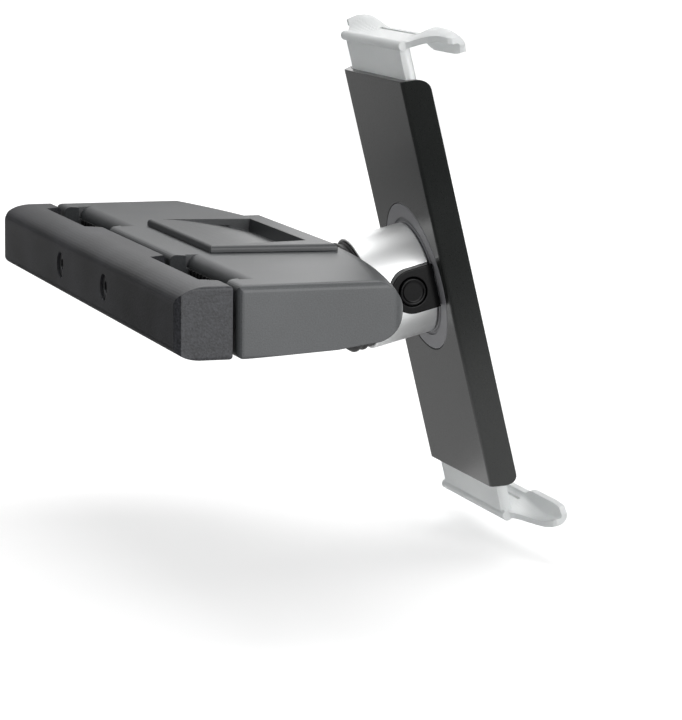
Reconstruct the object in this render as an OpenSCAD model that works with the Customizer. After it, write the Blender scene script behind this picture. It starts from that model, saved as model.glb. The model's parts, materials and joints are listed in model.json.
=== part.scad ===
// Headrest tablet mount: a two-jaw clamp for the posts of a car headrest, a tilting arm with a
// round sleeve, and a turning channel whose two geared claws hold a tablet by its long edges.
// X points from the headrest to the passenger behind it, Y lies along the clamp and Z is up.
// The origin is midway between the two headrest posts, at half the height of the clamp.

/* [Clamp] */
// Length of both jaws across the headrest
clamp_len = 243; // [236:1:260]
// Height of the jaws at the posts
clamp_h = 24; // [23:0.5:28]
// Thickness of the outer jaw
jaw_depth = 19.2; // [18:0.2:24]
// Reach of the domed top shoulder across the outer jaw
shoulder_x = 11.5; // [8:0.5:14]
// Drop of the domed top shoulder
shoulder_z = 5.8; // [3:0.2:8]
// Reach of the rounded lower edge across the outer jaw
foot_x = 10; // [4:0.5:12]
// Rise of the rounded lower edge
foot_z = 4.4; // [2:0.2:6]
// Bevel on the upright outer corners of the outer jaw
jaw_bevel = 2; // [1:0.2:3]
// Gap between the two jaws
clamp_gap = 1.5; // [1.5:0.1:2.5]
// Room for a headrest post between the pads
post_room = 12; // [12:0.5:14]
// Thickness of the rubber pads
pad_t = 1; // [0.8:0.1:1.5]
// Height of the ribs on the rubber pads
pad_rib = 0.4; // [0.2:0.1:0.6]
// Ribs on each rubber pad
pad_ribs = 14; // [10:1:18]
// Bare edge above and below each rubber pad
pad_edge = 4.5; // [3:0.5:6]
// Length of each jaw beyond its post recesses
slot_margin = 13.5; // [9:0.5:21]
// Length of the slanted side of a post recess
slot_ramp = 4; // [2:0.5:6]
// Distance between the two clamp screws
screw_pitch = 62; // [58:1:64]
// Diameter of the clamp screws
screw_d = 5; // [4:0.5:6]
// Length of the clamp screws under the head
screw_len = 42; // [40:1:46]
// Diameter of the clamp screw heads
screw_head_d = 8.5; // [8:0.5:9]
// Height of the clamp screw heads
screw_head_h = 5; // [4:0.5:5.5]
// Sink of the clamp screw heads in the outer jaw
head_sink = 0.8; // [0.4:0.1:1.5]
// Distance across the corners of the sockets in the clamp screws
socket_d = 4.6; // [4:0.1:5]
// Depth of the sockets in the clamp screws
socket_depth = 3; // [2:0.2:3.4]
// Across flats of the square nuts
nut_w = 8; // [7:0.5:9]
// Thickness of the square nuts
nut_t = 4; // [3:0.5:5]
// Distance of the square nuts from the gap between the jaws
nut_set = 15; // [14:0.5:18]

/* [Body] */
// Reach of the body's rounded nose at the middle
nose_reach = 73; // [72:0.5:76]
// Reach of the body's rounded nose at its two ends
nose_reach_end = 57; // [54:1:62]
// Radius of the rounded nose
nose_r = 10.2; // [9:0.2:10.6]
// Rise of the underside from the posts to the nose
belly_rise = 3.6; // [3:0.1:4.5]
// Radius of the corners and long edges
edge_r = 2.4; // [1:0.2:3]
// Radius of the body's front corners in plan
end_corner_r = 4; // [2:0.5:8]
// Rounding of the body's edge along each post recess
recess_round = 4.4; // [3:0.2:5]
// Room in the cavity beside each clamp nut
cavity_room = 4; // [3:0.5:6]
// Thickness of the base plate
base_t = 2; // [1.6:0.1:2.4]
// Overlap of the base plate round the cavity
base_lip = 2; // [1.6:0.1:2.6]

/* [Pull catch] */
// Width of the catch at its rear edge
catch_w = 82; // [76:1:88]
// Width of the catch at its front edge
catch_front_w = 91; // [84:1:100]
// Depth of the catch front to back
catch_d = 44.5; // [40:0.5:45]
// Distance from the middle of the posts to the catch
catch_x = 15.5; // [14:0.5:17]
// Height of the catch above the body
catch_h = 2.6; // [2:0.1:3.5]
// Depth of the finger pocket
pocket_depth = 4.6; // [4:0.2:5.4]
// Width of the catch's rim behind the finger pocket
pocket_rear = 5; // [3:0.5:7]
// Width of the catch's rim in front of the finger pocket
pocket_front = 8.2; // [7:0.2:10]
// Rounding of the catch's upper edges
catch_round = 1.4; // [0.8:0.1:1.8]
// Travel of the catch
catch_travel = 4; // [2:0.5:4.5]

/* [Tilt hinge] */
// Distance from the tilt axis to the front of the nose
hinge_back = 9.9; // [9:0.1:10.5]
// Drop of the tilt axis below the middle of the clamp
hinge_drop = 14.6; // [14:0.1:16]
// Angle of the arm above level at rest
tilt = 14; // [4:1:18]
// Diameter of the hinge pin
pin_d = 6; // [5:0.5:7]
// Diameter of the hinge pin's head
pin_head_d = 10.2; // [9:0.2:12]
// Height of the hinge pin's head
pin_head_h = 2.8; // [2:0.2:3.4]
// Distance across the corners of the hinge nut
hinge_nut_d = 11; // [10:0.5:12]
// Thickness of the hinge nut
hinge_nut_t = 4; // [3:0.5:5]
// Radius of the ears and of the knuckle
ear_r = 10.5; // [9.5:0.25:10.75]
// Thickness of each ear
ear_t = 7; // [5:0.5:8]
// Half width of the knuckle between the ears
knuckle_half = 7.5; // [6.5:0.25:8]
// Thickness of the friction washers
washer_t = 1.2; // [0.8:0.1:1.6]
// Diameter of the friction washers
washer_d = 17; // [14:0.5:19]

/* [Arm] */
// Distance from the tilt axis to the sleeve
rim_t = 20; // [19.5:0.5:22]
// Outer diameter of the sleeve
sleeve_d = 41; // [40:0.5:44]
// Wall of the sleeve
sleeve_wall = 2.5; // [1.5:0.25:3]
// Length of the sleeve
sleeve_len = 23.2; // [22.5:0.5:26]
// Diameter of the ribbed collar
collar_d = 40; // [38:0.5:40.5]
// Width of the ribbed collar
collar_w = 8; // [6:0.5:8.5]
// Depth of the grooves between the collar's ribs
collar_groove = 0.9; // [0.5:0.1:1.2]
// Diameter of the turning stem
stem_d = 12; // [10:0.5:13]
// Half width of the button housing
housing_half = 8; // [7:0.25:9]
// Height of the housing's face from the arm's axis
housing_face = 22.8; // [22:0.2:24]
// Diameter of the release button
button_d = 10; // [8:0.5:11]
// Travel of the release button
button_travel = 2; // [1.6:0.1:2.2]
// Diameter of the button's shank
shank_d = 6; // [5:0.5:7]
// Half width of the latch plate
latch_half = 8; // [7:0.5:9]

/* [Holder] */
// Width of the channel's back
chan_w = 63.8; // [62:0.5:70]
// Spread of each flange at its free edge
chan_flare = 6.8; // [4:0.2:9]
// Depth of the channel
chan_d = 8.2; // [8:0.1:9]
// Length of the channel
chan_len = 150.4; // [146:1:160]
// Wall of the channel
chan_wall = 2.4; // [2:0.1:2.6]
// Gap between the sleeve and the channel
turn_gap = 0.4; // [0.3:0.1:0.8]
// Diameter of the coupler disc
coupler_d = 55; // [50:1:58]
// Distance between the claws, the height of the tablet held
grip = 172; // [166:1:196]
// Thickness of the tablet held
tablet_t = 7.4; // [7:0.2:9]
// Width of the claws' tongues
tongue_w = 58; // [54:1:58]
// Thickness of the claws' moulding
claw_t = 2.2; // [1.8:0.1:2.4]
// Width of the claws across their lugs
claw_span = 110; // [96:1:120]
// Height of the lugs above the claw plate
lug_rise = 3.4; // [2:0.2:5]
// Depth of the lugs' lips in front of the tablet
hook_depth = 3.6; // [2.4:0.2:4.4]
// Radius of the bead along the rear corner of the claws
bead_r = 1.8; // [1.4:0.1:2.2]
// Teeth of the pinion
pinion_teeth = 12; // [12:1:14]
// Module of the racks and the pinion
gear_m = 1.5; // [1.4:0.1:1.5]

/* [Hidden] */
$fn = 64;

// Gap between faces that slide past each other
slide_gap = 0.3;
// Radial clearance of a shaft in its bore
fit_gap = 0.05;
// Overshoot of a cutter past the face it cuts
over = 1;

top_z = clamp_h/2;
jaw_end_r = 1.2;
body_low_r = 1;
jaw_in_x = -clamp_gap/3;
jaw_out_x = jaw_in_x - jaw_depth;
body_x = clamp_gap*2/3;
jaw_floor_x = -post_room/2 - pad_t;
body_floor_x = post_room/2 + pad_t;
// The cavity holds the two nuts, and the post recesses start beside it
cavity_len = screw_pitch + nut_w + 2*cavity_room;
slot_inner = cavity_len/2 + base_lip;
slot_outer = clamp_len/2 - slot_margin;
pad_len = slot_outer - slot_inner - 2*slot_ramp - 2;
pad_h = clamp_h - 2*pad_edge;
pad_y = (slot_outer + slot_inner)/2;

nut_x = body_x + nut_set;

// Cavity of the body, open below and closed by the base plate
cavity_x0 = 11;
cavity_x1 = 50;
cavity_top = nut_w/2 + 0.2;
base_screw_x = [cavity_x0 + 4, cavity_x1 - 4];
base_screw_y = 15;
base_screw_len = 9;
base_head_r = 2.4;
base_head_h = 1.8;
base_post_r = 3.2;
small_screw_r = 1.25;

// The catch hangs a tub into a tray of the body, with two springs between their front walls
tub_side = 6.5;
tub_rear = 7.5;
tub_front = 4.3;
tub_gap = 0.5;
catch_lift = 0.15;
tub_half = catch_w/2 - tub_side;
tub_x0 = catch_x + tub_rear;
tub_x1 = catch_x + catch_d - tub_front;
tray_floor = top_z - 5.6;
tray_x1 = tub_x1 + catch_travel + 0.2;
spring_places = [-24, 24];
spring_r = 1.5;
spring_wire = 0.5;
spring_z = tray_floor + 2.7;
spring_bore = spring_r + 0.45;
spring_pocket = 2;
tub_pocket = 2.6;

// The nose is a torus whose centre line passes through its reach at the middle and at the ends
bow = nose_reach - nose_reach_end;
bow_r = (pow(clamp_len/2, 2) + bow*bow)/(2*bow);
nose_x = nose_reach - nose_r;
nose_z = top_z - nose_r;
belly_slope = belly_rise/(nose_x - body_x);
nose_fall = 0.15;

hinge_x = nose_reach - hinge_back;
hinge_z = -hinge_drop;
washer_y = knuckle_half + 0.1;
ear_y = washer_y + washer_t + 0.1;
ear_out_y = ear_y + ear_t;
collar_back = rim_t - collar_w;
swing_r = sqrt(pow(collar_back, 2) + pow(collar_d/2, 2));
notch_half = collar_d/2 + 1.5;

sleeve_end = rim_t + sleeve_len;
button_t = rim_t + 0.6*sleeve_len;
sleeve_in = sleeve_d/2 - sleeve_wall;
core_r = sleeve_in - 0.2;
core_end = sleeve_end - 2;
core_start = button_t - housing_half - 0.5;
chan_back = sleeve_end + turn_gap;
chan_open = chan_back + chan_d;
wall_in = chan_back + chan_wall;
stem_r = stem_d/2 - fit_gap;
stem_tip = rim_t + 13;
latch_t = 2;
latch_at = button_t + 3;
latch_end = 8.5;
latch_spring_len = 6.5;
latch_face = 11.6;
housing_seat = 1.5;
neck_r = stem_r - 2;
flange_t = 1.8;
flange_over = 2.4;
flange_top = wall_in + fit_gap + flange_t;
tongue_back = flange_top + 0.25;
tongue_front = chan_open - 1.5;
cover_back = tongue_front + slide_gap;
cover_front = chan_open - 0.1;
claw_inner = grip/2;
lip_back = chan_open + slide_gap + tablet_t;
tongue_end = 24;
web_back = wall_in + 0.3;
web_start = 42;
arm_end = -23;
pitch_r = gear_m*pinion_teeth/2;
arm_in = pitch_r + 1.3*gear_m;
arm_w = 5;
boss_u = 22;
boss_r = 3.5;
post_r = 2.5;
cover_screw_r = 2.6;
cover_len = 116;
neck = tongue_w/2 + 2.4;
hook_rows = 9;
hook_round = 3.2;
claw_slot = 19.5;
pinion_back = flange_top + slide_gap;

// Points along an elliptical arc
function arc(cx, cy, rx, ry, a0, a1, n = 8) =
    [for (i = [0:n]) let (a = a0 + (a1 - a0)*i/n) [cx + rx*cos(a), cy + ry*sin(a)]];

// Extrudes an outline of X and Z along Y, centred
module along_y(len) rotate([90, 0, 0]) linear_extrude(len, center = true) children();

// Extrudes an outline of X and Z from one Y to another
module between_y(y0, y1) translate([0, (y0 + y1)/2, 0]) along_y(abs(y1 - y0)) children();

// Extrudes an outline of Y and Z along X from x0
module from_x(x0, len) translate([x0, 0, 0]) rotate([90, 0, 90]) linear_extrude(len) children();

// Round bar along X from x0
module rod_x(r, x0, len) translate([x0, 0, 0]) rotate([0, 90, 0]) cylinder(r = r, h = len);

// Round bar along Y from y0
module rod_y(r, y0, len) translate([0, y0, 0]) rotate([-90, 0, 0]) cylinder(r = r, h = len);

// Frame of the arm: its origin is on the tilt axis and X points along the sleeve
module on_arm() translate([hinge_x, 0, hinge_z]) rotate([0, -tilt, 0]) children();

// Box from one corner to the other
module span(a, b) translate(a) cube(b - a);

// Coil spring along X, as a six-sided wire swept round a helix
module coil(x0, len, r, wire, turns) {
    steps = turns*12;
    sides = 6;
    points = [for (i = [0:steps]) let (a = 30*i) for (k = [0:sides - 1])
        let (b = 360*k/sides, q = r + wire/2*cos(b))
        [x0 + wire/2 + (len - wire)*i/steps + wire/2*sin(b), q*cos(a), q*sin(a)]];
    walls = [for (i = [0:steps - 1]) for (k = [0:sides - 1]) let (n = (k + 1) % sides)
        [i*sides + k, i*sides + n, (i + 1)*sides + n, (i + 1)*sides + k]];
    first = [[for (k = [sides - 1:-1:0]) k]];
    last = [[for (k = [0:sides - 1]) steps*sides + k]];
    polyhedron(points, concat(walls, first, last));
}

// Plan of one post recess cut into a face at x = face, down to x = bottom
module recess_plan(face, bottom) {
    for (s = [-1, 1])
        polygon([[face, s*slot_inner], [bottom, s*(slot_inner + slot_ramp)],
            [bottom, s*(slot_outer - slot_ramp)], [face, s*slot_outer],
            [-bottom/6, s*slot_outer], [-bottom/6, s*slot_inner]]);
}

// Section of the outer jaw: flat outer face, domed top shoulder and rounded lower edge
module jaw_section() {
    small = jaw_end_r;
    polygon(concat(
        arc(jaw_out_x + shoulder_x, top_z - shoulder_z, shoulder_x, shoulder_z, 180, 90, 12),
        arc(jaw_in_x - small, top_z - small, small, small, 90, 0, 4),
        arc(jaw_in_x - small, small - top_z, small, small, 0, -90, 4),
        arc(jaw_out_x + foot_x, foot_z - top_z, foot_x, foot_z, 270, 180, 10)));
}

// Plan of the outer jaw with its bevelled outer corners
module jaw_plan() {
    half = clamp_len/2;
    polygon([[jaw_out_x, jaw_bevel - half], [jaw_out_x + jaw_bevel, -half], [jaw_in_x, -half],
        [jaw_in_x, half], [jaw_out_x + jaw_bevel, half], [jaw_out_x, half - jaw_bevel]]);
}

module jaw_bar() color("#3e4042") {
    difference() {
        intersection() {
            along_y(clamp_len) jaw_section();
            from_x(jaw_out_x - over, jaw_depth + 2*over) end_view(jaw_end_r, jaw_end_r);
            translate([0, 0, -clamp_h]) linear_extrude(2*clamp_h) difference() {
                jaw_plan();
                recess_plan(jaw_in_x + 0.01, jaw_floor_x);
            }
        }
        for (s = [-1, 1]) translate([0, s*screw_pitch/2, 0]) {
            rod_x(screw_d/2 + slide_gap, jaw_out_x - over, jaw_depth + 2*over);
            rod_x(screw_head_d/2 + 0.4, jaw_out_x - over, head_sink + screw_head_h + over);
        }
    }
}

// Ribbed rubber pad; side is -1 on the outer jaw and 1 on the body
module pad(side, s) {
    floor_x = side < 0 ? jaw_floor_x : body_floor_x;
    pitch = pad_len/pad_ribs;
    color("#232324") translate([floor_x, s*pad_y, 0]) mirror([side < 0 ? 1 : 0, 0, 0]) {
        translate([pad_rib - pad_t, -pad_len/2, -pad_h/2]) cube([pad_t - pad_rib, pad_len, pad_h]);
        for (i = [0:pad_ribs - 1])
            translate([-pad_t, (i + 0.25)*pitch - pad_len/2, -pad_h/2]) cube([2*pad_rib, pitch/2, pad_h]);
    }
}
module jaw_pad_near() pad(-1, -1);
module jaw_pad_far() pad(-1, 1);
module body_pad_near() pad(1, -1);
module body_pad_far() pad(1, 1);

// Socket-head clamp screw, its head sunk in the outer jaw
module clamp_screw(s) color("#55585a") translate([0, s*screw_pitch/2, 0]) {
    head_x = jaw_out_x + head_sink;
    difference() {
        union() {
            rod_x(screw_head_d/2, head_x, screw_head_h);
            rod_x(screw_d/2, head_x + socket_depth + over, screw_head_h - socket_depth - over + screw_len);
        }
        translate([head_x - over, 0, 0]) rotate([0, 90, 0])
            cylinder(d = socket_d, h = over + socket_depth, $fn = 6);
    }
}
module clamp_screw_near() clamp_screw(-1);
module clamp_screw_far() clamp_screw(1);

// Square nut held in a pocket of the body
module clamp_nut(s) color("#9a9b9c") translate([nut_x, s*screw_pitch/2, 0]) difference() {
    translate([0, -nut_w/2, -nut_w/2]) cube([nut_t, nut_w, nut_w]);
    rod_x(screw_d/2 + fit_gap, -over, nut_t + 2*over);
}
module clamp_nut_near() clamp_nut(-1);
module clamp_nut_far() clamp_nut(1);

// Height of the sloping underside at a given reach
function belly_z(x) = -top_z + belly_slope*(x - body_x);

// Side view of the body without its nose
module body_side() {
    far_x = nose_reach + over;
    polygon(concat(
        arc(body_x + edge_r, top_z - edge_r, edge_r, edge_r, 180, 90, 5),
        [[far_x, top_z], [far_x, belly_z(far_x)]],
        arc(body_x + edge_r, edge_r - top_z, edge_r, edge_r, 270, 180, 5)));
}

// Bowed front of the body: its rounded nose, swept about a distant upright axis
module body_bow() {
    near_r = bow_r - nose_x;
    sweep = 2*atan((clamp_len/2 + over)/near_r);
    translate([nose_x - bow_r, 0, 0]) rotate([0, 0, -sweep/2]) rotate_extrude(angle = sweep, $fn = 360)
        polygon(concat(
            [[near_r, top_z]], arc(bow_r, nose_z, nose_r, nose_r, 90, -90, 24),
            [[near_r, nose_z - nose_r - nose_fall*nose_x]]));
}

// View along X of a piece as long as the clamp, with its upper and lower end corners rounded
module end_view(upper_r, lower_r) {
    half = clamp_len/2;
    polygon(concat(
        arc(half - upper_r, top_z - upper_r, upper_r, upper_r, 0, 90, 5),
        arc(upper_r - half, top_z - upper_r, upper_r, upper_r, 90, 180, 5),
        arc(lower_r - half, lower_r - top_z, lower_r, lower_r, 180, 270, 5),
        arc(half - lower_r, lower_r - top_z, lower_r, lower_r, 270, 360, 5)));
}

// Plan of the body with its post recesses
module body_plan() {
    half = clamp_len/2;
    // Front corners are arcs tangent to the end and to the bow's outermost line
    r = end_corner_r;
    out_r = bow_r + nose_r - r;
    bow_a = asin((half - r)/out_r);
    corner_x = nose_x - bow_r + out_r*cos(bow_a);
    tip_x = corner_x + r/cos(bow_a) + (half - r)*tan(bow_a);
    difference() {
        polygon(concat(
            arc(body_x + edge_r, edge_r - half, edge_r, edge_r, 180, 270, 5),
            arc(corner_x, r - half, r, r, -90, -bow_a, 8), [[tip_x, 0]],
            arc(corner_x, half - r, r, r, bow_a, 90, 8),
            arc(body_x + edge_r, half - edge_r, edge_r, edge_r, 90, 180, 5)));
        recess_plan(body_x - 0.01, body_floor_x);
    }
}

// Rounding cutter along the upper edge of a face at x, from y0 to y1
module edge_cutter(x, r, y0, y1) between_y(y0, y1) difference() {
    translate([x - over, top_z - r]) square([r + over, r + over]);
    translate([x + r, top_z - r]) circle(r = r);
}

// Ear outline, drawn about the tilt axis and running up into the underside
module ear_outline() {
    circle(r = ear_r);
    polygon([[-ear_r, 0], [ear_r*0.2, -1], [0, hinge_drop - 6], [-ear_r - 10, hinge_drop - 6]]);
}

// Closed outer form of the body, notched in front for the arm
module body_form() difference() {
    intersection() {
        along_y(clamp_len) body_side();
        body_bow();
        from_x(0, nose_reach + over) end_view(edge_r, body_low_r);
        translate([0, 0, -clamp_h]) linear_extrude(2*clamp_h) body_plan();
    }
    for (s = [-1, 1]) edge_cutter(body_floor_x, recess_round, s*(slot_inner + 1), s*(slot_outer - 1));
    span([nose_x + 0.5, -notch_half, -clamp_h], [nose_reach + over, notch_half, clamp_h]);
}

module body_housing() color("#505255") {
    difference() {
        union() {
            body_form();
            for (s = [-1, 1]) translate([hinge_x, 0, hinge_z])
                between_y(s*ear_y, s*ear_out_y) ear_outline();
        }
        translate([hinge_x, 0, hinge_z]) {
            rod_y(ear_r + 0.8, -ear_y, 2*ear_y);
            rod_y(pin_d/2 + fit_gap, -ear_out_y - over, 2*(ear_out_y + over));
        }
        span([tub_x0 - tub_gap, -tub_half - tub_gap, tray_floor], [tray_x1, tub_half + tub_gap, clamp_h]);
        span([cavity_x0, -cavity_len/2, -clamp_h], [cavity_x1, cavity_len/2, cavity_top]);
        base_slab(0.15, over);
        for (s = [-1, 1]) translate([0, s*screw_pitch/2, 0])
            rod_x(screw_d/2 + slide_gap, 0, cavity_x0 + over);
        for (p = spring_places) translate([0, p, spring_z])
            rod_x(spring_bore, tray_x1 - over, spring_pocket + over);
    }
    for (s = [-1, 1]) translate([0, s*screw_pitch/2, 0]) nut_cage();
    for (x = base_screw_x) for (s = [-1, 1]) translate([x, s*base_screw_y, 0]) base_post();
}

// Ribs that hold a square nut against turning
module nut_cage() {
    cage = 1.6;
    side = nut_w/2 + cage;
    for (s = [-1, 1])
        span([nut_x - cage, s < 0 ? -side : nut_w/2 + 0.1, -nut_w/2],
            [nut_x + nut_t, s < 0 ? -nut_w/2 - 0.1 : side, cavity_top + 0.01]);
    difference() {
        span([nut_x - cage, -side, -nut_w/2], [nut_x - 0.02, side, cavity_top + 0.01]);
        rod_x(screw_d/2 + slide_gap, nut_x - cage - over, cage + 2*over);
    }
}

// Screw post of the base plate, hanging from the roof of the cavity
module base_post() difference() {
    foot = belly_z(cavity_x1) + base_t + 1;
    translate([0, 0, foot]) cylinder(r = base_post_r, h = cavity_top + 0.01 - foot);
    translate([0, 0, foot - over]) cylinder(r = small_screw_r + fit_gap, h = base_screw_len - 1 + over);
}

// Slab along the sloping underside, as large as the base plate and wider all round by gap
module base_slab(gap, below) {
    x0 = cavity_x0 - base_lip - gap;
    x1 = cavity_x1 + base_lip + gap;
    along_y(cavity_len + 2*(base_lip + gap)) polygon([[x0, belly_z(x0) - below], [x1, belly_z(x1) - below],
        [x1, belly_z(x1) + base_t], [x0, belly_z(x0) + base_t]]);
}

// Base plate with ribs inside and sunk holes for its screws
module base_plate() color("#3a3c3e") {
    rib_pitch = 14;
    rib_t = 1.2;
    difference() {
        union() {
            base_slab(0, 0);
            for (i = [-2:2]) span([cavity_x0 + 1, i*rib_pitch - rib_t/2, belly_z(cavity_x0) + base_t - 0.5],
                [cavity_x1 - 1, i*rib_pitch + rib_t/2, belly_z(cavity_x1) + base_t + 0.6]);
        }
        for (x = base_screw_x) for (s = [-1, 1]) translate([x, s*base_screw_y, 0]) {
            translate([0, 0, -clamp_h]) cylinder(r = small_screw_r + slide_gap, h = 2*clamp_h);
            translate([0, 0, -clamp_h])
                cylinder(r = base_head_r + slide_gap, h = clamp_h + belly_z(x) + base_head_h/2);
            translate([0, 0, belly_z(cavity_x1) + base_t - 0.6])
                cylinder(r = base_post_r + 0.6, h = clamp_h/4);
        }
    }
}

// Four small pan-head screws that hold the base plate
module base_screws() color("#6a6c6e") {
    for (x = base_screw_x) for (s = [-1, 1]) translate([x, s*base_screw_y, belly_z(x)]) difference() {
        union() {
            translate([0, 0, -base_head_h/2]) cylinder(r = base_head_r, h = base_head_h);
            cylinder(r = small_screw_r, h = base_screw_len);
        }
        for (a = [0, 90]) rotate([0, 0, a]) translate([0, 0, -base_head_h/2])
            cube([1.25*base_head_r, base_head_r/4, base_head_h*0.8], center = true);
    }
}

// Front view of the catch's plate with rounded upper corners, as wide as w
module catch_end(w) {
    z0 = top_z + catch_lift;
    z1 = top_z + catch_h - catch_round;
    half = w/2;
    polygon(concat([[half, z0]], arc(half - catch_round, z1, catch_round, catch_round, 0, 90, 5),
        arc(catch_round - half, z1, catch_round, catch_round, 90, 180, 5), [[-half, z0]]));
}

// Side view of the catch's plate with rounded upper edges
module catch_side() {
    z0 = top_z + catch_lift;
    z1 = top_z + catch_h - catch_round;
    front = catch_x + catch_d;
    polygon(concat([[catch_x, z0]], arc(catch_x + catch_round, z1, catch_round, catch_round, 180, 90, 5),
        arc(front - catch_round, z1, catch_round, catch_round, 90, 0, 5), [[front, z0]]));
}

// Pull catch: a frame that widens towards the nose, with a finger pocket and a tub in the body's tray
module pull_catch() color("#3f4143") {
    slice = 0.05;
    difference() {
        union() {
            intersection() {
                along_y(2*catch_front_w) catch_side();
                hull() {
                    from_x(catch_x, slice) catch_end(catch_w);
                    from_x(catch_x + catch_d - slice, slice) catch_end(catch_front_w);
                }
            }
            span([tub_x0, -tub_half, tray_floor + slide_gap], [tub_x1, tub_half, top_z + catch_lift + 0.5]);
        }
        finger_pocket();
        for (p = spring_places) translate([0, p, spring_z])
            rod_x(spring_bore, tub_x1 - tub_pocket, tub_pocket + over);
    }
}

// Finger pocket: a scoop that starts level with the rim and is deepest at its upright front wall
module finger_pocket() {
    x0 = catch_x + pocket_rear;
    x1 = catch_x + catch_d - pocket_front;
    z1 = top_z + catch_h;
    steps = 8;
    rear_half = catch_w/2 - 2.5;
    front_half = catch_w/2 - 8;
    intersection() {
        along_y(2*catch_w) polygon(concat([[x0, z1 + over]],
            [for (i = [0:steps]) [x0 + (x1 - x0)*i/steps, z1 - pocket_depth*pow(i/steps, 1.6)]],
            [[x1 + 0.6, z1 + over]]));
        translate([0, 0, z1 - 2*pocket_depth]) linear_extrude(4*pocket_depth) polygon([
            [x0, -rear_half], [x1 + over, -front_half], [x1 + over, front_half], [x0, rear_half]]);
    }
}

module catch_spring(y) color("#a8a9aa") translate([0, y, spring_z])
    coil(tub_x1 - tub_pocket + fit_gap, tub_pocket + tray_x1 - tub_x1 + spring_pocket - 2*fit_gap,
        spring_r, spring_wire, 6);
module catch_spring_near() catch_spring(spring_places[0]);
module catch_spring_far() catch_spring(spring_places[1]);

// Steel pin through both ears, with its head on the near side
module hinge_pin() color("#8d8f91") translate([hinge_x, 0, hinge_z]) difference() {
    head_y = -ear_out_y - fit_gap - pin_head_h;
    union() {
        rod_y(pin_d/2, head_y + pin_head_h - fit_gap, 2*ear_out_y + 3*fit_gap + hinge_nut_t + 1);
        rod_y(pin_head_d/2, head_y, pin_head_h);
    }
    translate([0, head_y - over, 0]) rotate([-90, 0, 0])
        cylinder(d = pin_head_d/3, h = over + 0.6*pin_head_h, $fn = 6);
}

module hinge_nut() color("#8d8f91") translate([hinge_x, ear_out_y + fit_gap, hinge_z]) difference() {
    rotate([-90, 0, 0]) cylinder(d = hinge_nut_d, h = hinge_nut_t, $fn = 6);
    rod_y(pin_d/2 + fit_gap, -over, hinge_nut_t + 2*over);
}

module friction_washer(s) color("#b9a46a") translate([hinge_x, 0, hinge_z]) difference() {
    rod_y(washer_d/2, s < 0 ? -washer_y - washer_t : washer_y, washer_t);
    rod_y(pin_d/2 + fit_gap, -ear_out_y, 2*ear_out_y);
}
module friction_washer_near() friction_washer(-1);
module friction_washer_far() friction_washer(1);

// Black knuckle: hub on the hinge pin, web, ribbed collar behind the sleeve and a spigot inside it
module hinge_knuckle() color("#1f2021") on_arm() {
    r = collar_d/2;
    low = r - collar_groove;
    rib = 1.2;
    ramp = 0.4;
    b = collar_back + rib;
    step = rib + 2*ramp + 1;
    web = 0.75*ear_r;
    difference() {
        union() {
            rod_y(ear_r - 0.2, -knuckle_half, 2*knuckle_half);
            span([0, -knuckle_half, -web], [collar_back + 1, knuckle_half, web]);
            rotate([0, 90, 0]) rotate_extrude() polygon(concat(
                [[0, collar_back], [r - rib, collar_back]],
                [for (i = [0:1]) let (t = b + i*step)
                    each [[r, t], [r, t + rib - 0.2], [low, t + rib - 0.2 + ramp], [low, t + 1.2 + rib]]],
                [[r - ramp, b + 2*step], [r - ramp, rim_t - 0.15], [core_r, rim_t - 0.15],
                    [core_r, core_start], [0, core_start]]));
        }
        rod_y(pin_d/2 + fit_gap, -knuckle_half - over, 2*(knuckle_half + over));
    }
}

// Outline of the button housing and of its window in the sleeve, widened by gap
module housing_outline(gap, end) {
    translate([button_t, 0]) circle(r = housing_half + gap);
    translate([button_t, -housing_half - gap]) square([end - button_t, 2*(housing_half + gap)]);
}

// Silver sleeve with its window for the button housing
module arm_sleeve() color("#e3e4e5") on_arm() difference() {
    r = sleeve_d/2;
    c = 0.4;
    rotate([0, 90, 0]) rotate_extrude($fn = 96) polygon([[sleeve_in, rim_t], [r - c, rim_t], [r, rim_t + c],
        [r, sleeve_end - c], [r - c, sleeve_end], [sleeve_in, sleeve_end]]);
    between_y(-sleeve_d, 0) housing_outline(0.1, sleeve_end + over);
}

// Core of the arm: stem bearing, slot for the latch plate and well for the button
module arm_core() color("#2a2b2c") on_arm() difference() {
    rod_x(core_r, core_start + 0.02, core_end - core_start - 0.02);
    rod_x(stem_d/2, stem_tip - 1, core_end - stem_tip + 1 + over);
    play = 0.15;
    span([latch_at - latch_t/2 - play, -core_r - over, -latch_half - play],
        [latch_at + latch_t/2 + play, latch_end + latch_spring_len, latch_half + play]);
    translate([button_t, 0, 0]) rod_y(shank_d/2 + slide_gap, -core_r - over, core_r + over - stem_d/2 - 1.5);
    between_y(-sleeve_d, housing_seat - core_r) housing_outline(fit_gap, sleeve_end + over);
}

// Black boss that carries the release button on the near side of the sleeve
module button_housing() color("#141415") on_arm() difference() {
    intersection() {
        between_y(-housing_face, housing_seat - core_r) housing_outline(0, sleeve_end - 0.1);
        rod_x(housing_face + 1.4, rim_t, sleeve_len);
    }
    translate([button_t, 0, 0]) rod_y(button_d/2 + slide_gap, -housing_face - over, housing_face);
}

// Round push button on a shank that pushes the latch plate
module release_button() color("#0f0f10") on_arm() translate([button_t, 0, 0]) {
    proud = 0.5;
    dish = 0.35;
    ring = 0.6;
    head = 3.6;
    r = button_d/2;
    tail = housing_face + proud - latch_face - fit_gap;
    translate([0, -housing_face - proud, 0]) rotate([-90, 0, 0]) rotate_extrude() polygon([
        [0, dish], [r - ring - 0.8, dish], [r - ring - 0.3, 0], [r - 0.3, 0],
        [r, 0.4], [r, head], [shank_d/2, head], [shank_d/2, tail], [0, tail]]);
}

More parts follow.
